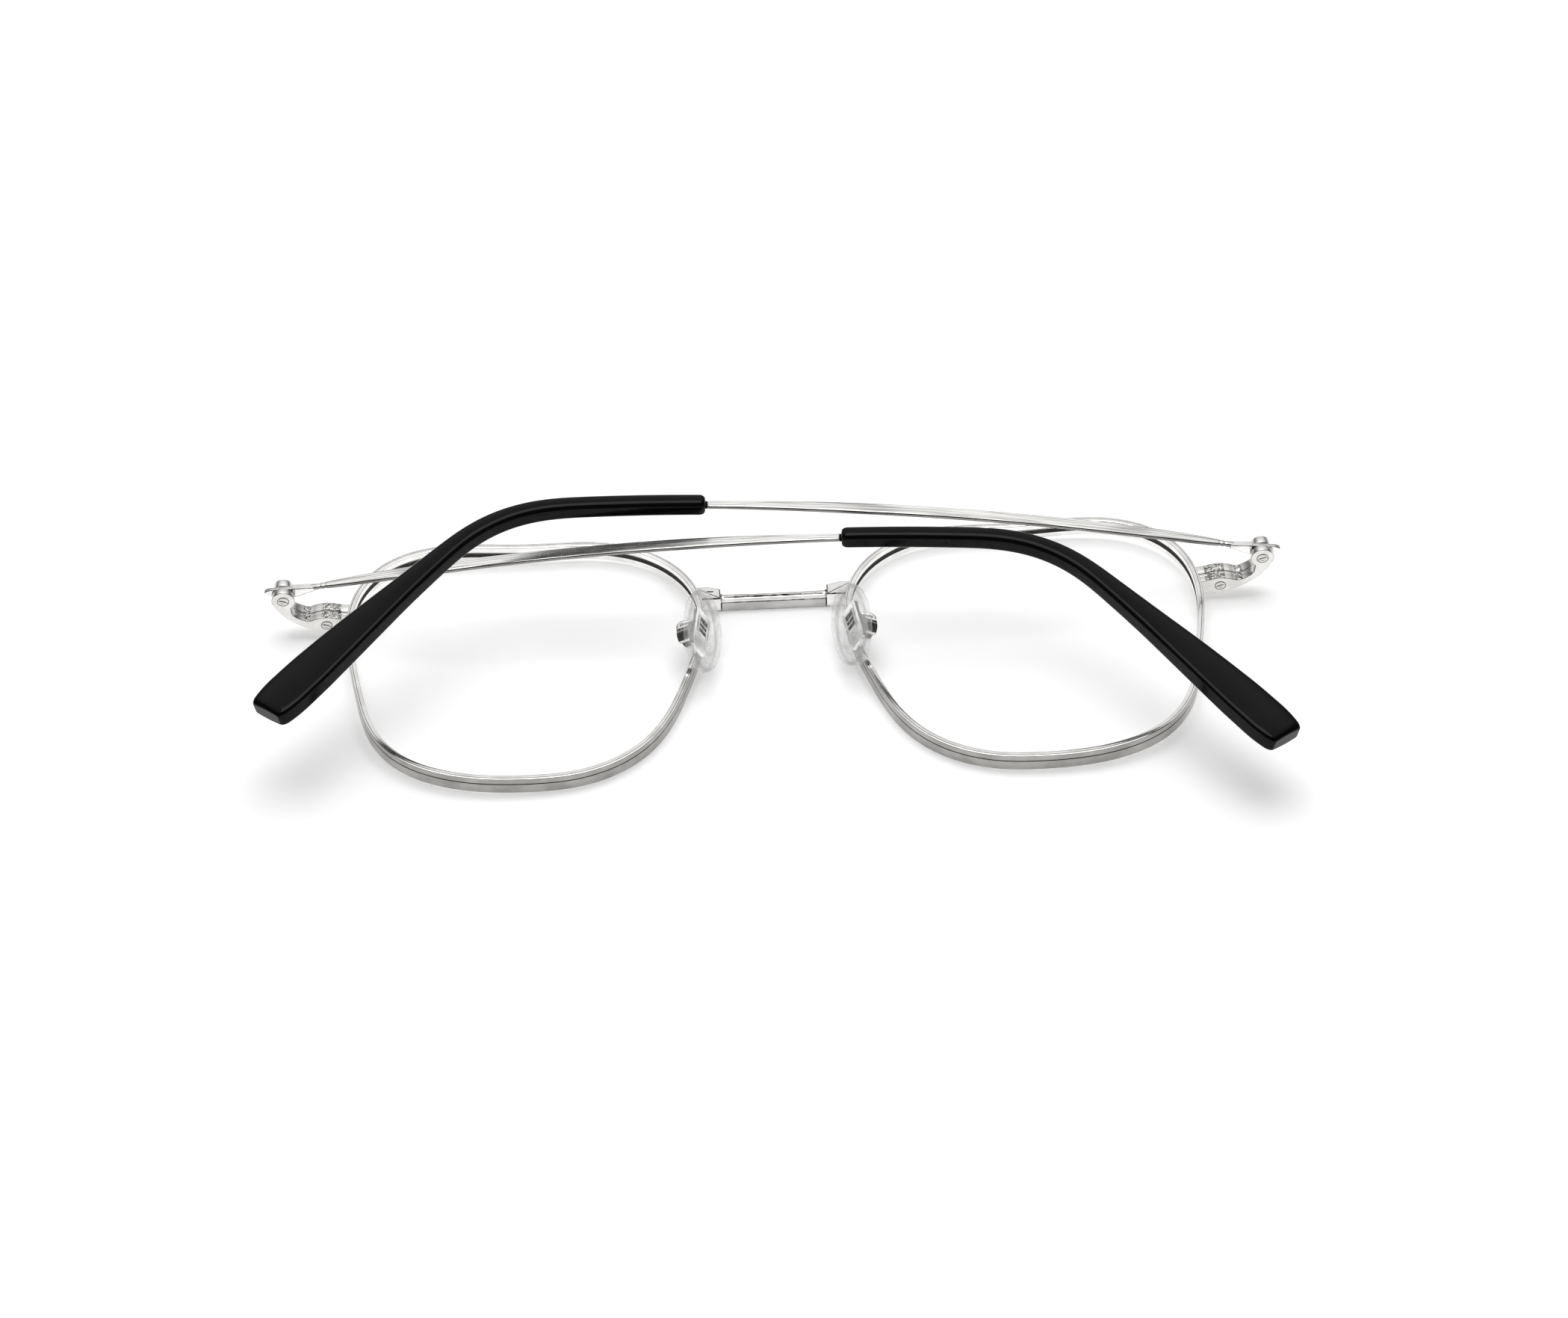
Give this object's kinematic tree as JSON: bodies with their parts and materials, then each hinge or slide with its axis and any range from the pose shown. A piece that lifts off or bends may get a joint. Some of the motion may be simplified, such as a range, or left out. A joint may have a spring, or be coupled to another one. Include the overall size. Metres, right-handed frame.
{
  "type": "folding eyeglasses",
  "caption": "Folding full-rim metal eyeglasses with a single bridge bar, clear lenses, rocking nose pads, leaning screw hinges and curved temples with acetate tips.",
  "frame": {"origin": "middle of the bridge's flat front face, which lies on the table", "axes": "+X to the wearer's right, +Y up the face towards the brow, +Z back towards the wearer's head"},
  "size_m": [0.1396, 0.0541, 0.0203],
  "materials": {
    "satin_metal": "satin",
    "polished_metal": "polished",
    "screw_steel": "polished",
    "clear_lens": "clear",
    "clear_silicone": "clear",
    "black_acetate": "glossy"
  },
  "bodies": {
    "front_frame": {"bridge": "satin_metal", "right_rim": "satin_metal", "right_lens": "clear_lens", "right_endpiece_lower": "satin_metal", "right_endpiece_upper": "satin_metal", "right_closing_screw": "screw_steel", "right_hinge_screw": "screw_steel", "right_hinge_washers": "screw_steel", "right_pad_arm": "polished_metal", "right_pad_screw": "screw_steel", "left_rim": "satin_metal", "left_lens": "clear_lens", "left_endpiece_lower": "satin_metal", "left_endpiece_upper": "satin_metal", "left_closing_screw": "screw_steel", "left_hinge_screw": "screw_steel", "left_hinge_washers": "screw_steel", "left_pad_arm": "polished_metal", "left_pad_screw": "screw_steel"},
    "right_temple_arm": {"right_temple": "polished_metal", "right_temple_head": "polished_metal", "right_temple_tip": "black_acetate"},
    "right_pad": {"right_nose_pad": "clear_silicone", "right_pad_plate": "polished_metal"},
    "left_temple_arm": {"left_temple": "polished_metal", "left_temple_head": "polished_metal", "left_temple_tip": "black_acetate"},
    "left_pad": {"left_nose_pad": "clear_silicone", "left_pad_plate": "polished_metal"}
  },
  "joints": [
    {"name": "right_temple_fold", "type": "hinge", "parent": "front_frame", "child": "right_temple_arm", "pos_m": [0.0669, -0.00128, 0.00742], "axis": [0.0244, 0.9997, 0], "range_deg": [0, 90]},
    {"name": "left_temple_fold", "type": "hinge", "parent": "front_frame", "child": "left_temple_arm", "pos_m": [-0.0669, -0.00128, 0.00742], "axis": [-0.0244, -0.9997, 0], "range_deg": [0, 86.4]},
    {"name": "right_pad_rock", "type": "hinge", "parent": "front_frame", "child": "right_pad", "pos_m": [0.01191, -0.01094, 0.00546], "axis": [0.5, 0, 0.866], "range_deg": [-8, 8]},
    {"name": "left_pad_rock", "type": "hinge", "parent": "front_frame", "child": "left_pad", "pos_m": [-0.01191, -0.01094, 0.00546], "axis": [-0.5, 0, 0.866], "range_deg": [-8, 8]}
  ],
  "couplings": [
    {"joint": "left_temple_fold", "follows": "right_temple_fold", "ratio": 0.96}
  ]
}
